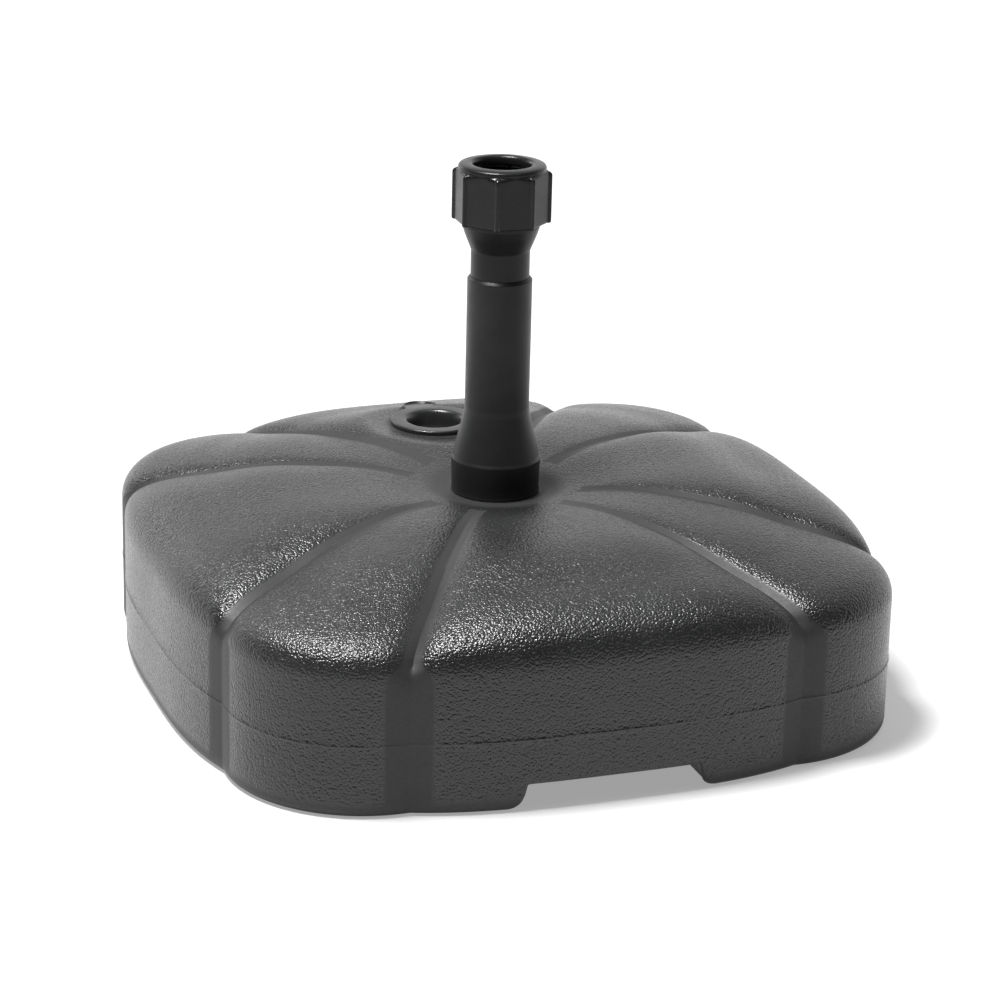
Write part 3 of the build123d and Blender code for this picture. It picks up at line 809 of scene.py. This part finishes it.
def tank_material():
    m, nt, bs = new_mat("pebbled_polyethylene")
    N = Nodes(nt)
    g = N.attr("grain")
    w = N.warp(150.0, 0.0010)
    peb = N.voronoi(560.0, "F1", 0.0, w)
    peb2 = N.voronoi(900.0, "F1", 0.0, w)
    broad = N.noise(95.0, 3.0)
    dome = N.math("SUBTRACT", 0.45, N.math("MULTIPLY", peb, peb))
    height = N.math("ADD", dome, N.math("MULTIPLY", peb2, -0.30))
    height = N.math("ADD", height, N.math("MULTIPLY", broad, 0.45))
    height = N.math("MULTIPLY", height, g)
    height = N.math("ADD", height, N.math("MULTIPLY", N.noise(260.0, 3.0), 0.07))
    nrm = N.bump(height, 1.0, 0.00050)
    nt.links.new(nrm, bs.inputs["Normal"])
    blotch = N.noise(14.0, 4.0)
    col = N.mix(N.ramp(blotch, 0.3, 0.7), (0.0105, 0.0107, 0.0110), (0.0165, 0.0168, 0.0172))
    peak = N.ramp(peb, 0.50, 0.05)
    col = N.mix(N.math("MULTIPLY", peak, 0.30), col, (0.028, 0.0285, 0.029))
    edge = N.ramp(N.pointy(), 0.53, 0.60)
    col = N.mix(N.math("MULTIPLY", edge, 0.3, True), col, (0.045, 0.0455, 0.046))
    nt.links.new(col, bs.inputs["Base Color"])
    ro = N.math("ADD", N.ramp(blotch, 0.3, 0.7, 0.21, 0.27), N.math("MULTIPLY", peb, 0.08))
    ro = N.math("ADD", ro, N.ramp(g, 0.0, 1.0, 0.30, 0.0))
    nt.links.new(ro, bs.inputs["Roughness"])
    bs.inputs["Specular IOR Level"].default_value = 0.5
    return m


def smooth_plastic(name, a, b, rough=(0.34, 0.44), bump=0.00005, scale=300.0, spec=0.5):
    m, nt, bs = new_mat(name)
    N = Nodes(nt)
    bl = N.noise(30.0, 4.0)
    col = N.mix(N.ramp(bl, 0.3, 0.7), a, b)
    edge = N.ramp(N.pointy(), 0.52, 0.60)
    col = N.mix(N.math("MULTIPLY", edge, 0.35, True), col, tuple(min(1, c * 2.4 + 0.01) for c in b))
    nt.links.new(col, bs.inputs["Base Color"])
    r = N.ramp(N.noise(70.0, 4.0), 0.3, 0.7, rough[0], rough[1])
    nt.links.new(r, bs.inputs["Roughness"])
    h = N.math("ADD", N.noise(scale, 4.0), N.math("MULTIPLY", N.noise(scale * 5, 2.0), 0.4))
    nt.links.new(N.bump(h, 1.0, bump), bs.inputs["Normal"])
    bs.inputs["Specular IOR Level"].default_value = spec
    return m


def assign(ob, mat):
    ob.data.materials.clear()
    ob.data.materials.append(mat)


# ------------------------------------------------------------------ build
tank = make_tank(); assign(tank, tank_material())
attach(tank, "base"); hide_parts("tank")
stem = make_stem(); assign(stem, smooth_plastic("stem_plastic", (0.0095, 0.0097, 0.0099), (0.0135, 0.0137, 0.0140), (0.34, 0.44), spec=0.25))
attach(stem, "base"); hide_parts("stem_tube")
neck = make_neck(); assign(neck, smooth_plastic("neck_plastic", (0.0060, 0.0061, 0.0063), (0.0090, 0.0092, 0.0094), (0.32, 0.42), spec=0.22))
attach(neck, "base"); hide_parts("neck_sleeve")
knob = make_knob(); assign(knob, smooth_plastic("knob_plastic", (0.0055, 0.0056, 0.0058), (0.0080, 0.0082, 0.0084), (0.24, 0.33), spec=0.24))
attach(knob, "knob"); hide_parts("clamp_knob")
plug = make_plug(); assign(plug, smooth_plastic("plug_plastic", (0.0105, 0.0107, 0.0110), (0.0165, 0.0168, 0.0172), (0.28, 0.36), 0.00009, 420.0, spec=0.5))
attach(plug, "plug"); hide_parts("filler_plug")

soft = smooth_plastic("inner_plastic", (0.018, 0.018, 0.0185), (0.026, 0.026, 0.0265), (0.38, 0.5))
nylon = smooth_plastic("collet_nylon", (0.020, 0.020, 0.0205), (0.03, 0.03, 0.0305), (0.4, 0.5))
acetal = smooth_plastic("acetal_ring", (0.30, 0.30, 0.29), (0.38, 0.38, 0.36), (0.3, 0.4))
rubber = smooth_plastic("black_rubber", (0.008, 0.008, 0.008), (0.014, 0.014, 0.014), (0.6, 0.75), 0.00012, 900.0)
for n, mt in (("nut_washer", rubber), ("stem_nut", soft), ("pole_stop", soft), ("slip_ring", acetal), ("plug_seal", rubber)):
    assign(nodes[n], mt)
for k in range(6):
    assign(nodes["collet_finger_%d" % (k + 1)], nylon)

# ------------------------------------------------------------------ floor and light
def plane(name, size, loc=(0, 0, 0)):
    me = bpy.data.meshes.new(name)
    s = size / 2
    me.from_pydata([(-s, -s, 0), (s, -s, 0), (s, s, 0), (-s, s, 0)], [], [(0, 1, 2, 3)])
    ob = bpy.data.objects.new(name, me); ob.location = loc
    scene.collection.objects.link(ob)
    return ob


floor = plane("floor", 24.0)
fm, fnt, fbs = new_mat("floor_paint_and_painted_glow")
FN = Nodes(fnt)
fc = FN.mix(FN.noise(3.0, 2.0), (0.50, 0.50, 0.50), (0.52, 0.52, 0.52))
fnt.links.new(fc, fbs.inputs["Base Color"])
fbs.inputs["Roughness"].default_value = 0.9
dist = fnt.nodes.new("ShaderNodeVectorMath"); dist.operation = "LENGTH"
fnt.links.new(FN.co, dist.inputs[0])
# painted light: the floor glows, weakest within 0.7 m of the base (lifting the shadow there) and rising outwards so
# the far floor stays white
fbs.inputs["Emission Color"].default_value = (1, 1, 1, 1)
fnt.links.new(FN.ramp(dist.outputs["Value"], 0.7, 2.2, 0.34, 0.95), fbs.inputs["Emission Strength"])
fbs.inputs["Specular IOR Level"].default_value = 0.1
assign(floor, fm)


def area(name, loc, target, size, power, size_y=None):
    d = bpy.data.lights.new(name, "AREA")
    d.energy = power; d.size = size
    if size_y:
        d.shape = "RECTANGLE"; d.size_y = size_y
    ob = bpy.data.objects.new(name, d)
    scene.collection.objects.link(ob)
    ob.location = loc
    v = Vector(target) - Vector(loc)
    ob.rotation_euler = v.to_track_quat("-Z", "Y").to_euler()
    return ob


area("overhead", (-0.60, -0.04, 2.22), (-0.05, -0.05, 0.1), 0.62, 104.0, 0.62)
area("back_left", (-0.95, 2.40, 1.05), (0, 0, 0.1), 0.7, 4.0, 0.5)

# a bright tent behind and above the object, and a dark room behind the camera
world = bpy.data.worlds.new("studio"); scene.world = world
world.use_nodes = True
wn = world.node_tree
bg = wn.nodes["Background"]
tc = wn.nodes.new("ShaderNodeTexCoord")


def wdot(vec, lo, hi, a, b):
    d = wn.nodes.new("ShaderNodeVectorMath"); d.operation = "DOT_PRODUCT"
    wn.links.new(tc.outputs["Generated"], d.inputs[0]); d.inputs[1].default_value = vec
    m = wn.nodes.new("ShaderNodeMapRange"); m.interpolation_type = "SMOOTHSTEP"
    m.inputs["From Min"].default_value = lo; m.inputs["From Max"].default_value = hi
    m.inputs["To Min"].default_value = a; m.inputs["To Max"].default_value = b
    wn.links.new(d.outputs["Value"], m.inputs["Value"])
    return m.outputs["Result"]


low = wn.nodes.new("ShaderNodeMath"); low.operation = "MULTIPLY"
wn.links.new(wdot((0.336, 0.942, 0.0), -0.20, 0.55, 0.0, 1.0), low.inputs[0])
wn.links.new(wdot((0.0, 0.0, 1.0), 0.36, 0.62, 1.05, 0.30), low.inputs[1])
add = wn.nodes.new("ShaderNodeMath"); add.operation = "ADD"
wn.links.new(low.outputs[0], add.inputs[0])
wn.links.new(wdot((0.0, 0.0, 1.0), 0.80, 0.97, 0.02, 0.6), add.inputs[1])
wn.links.new(add.outputs[0], bg.inputs["Strength"])
bg.inputs["Color"].default_value = (1, 1, 1, 1)
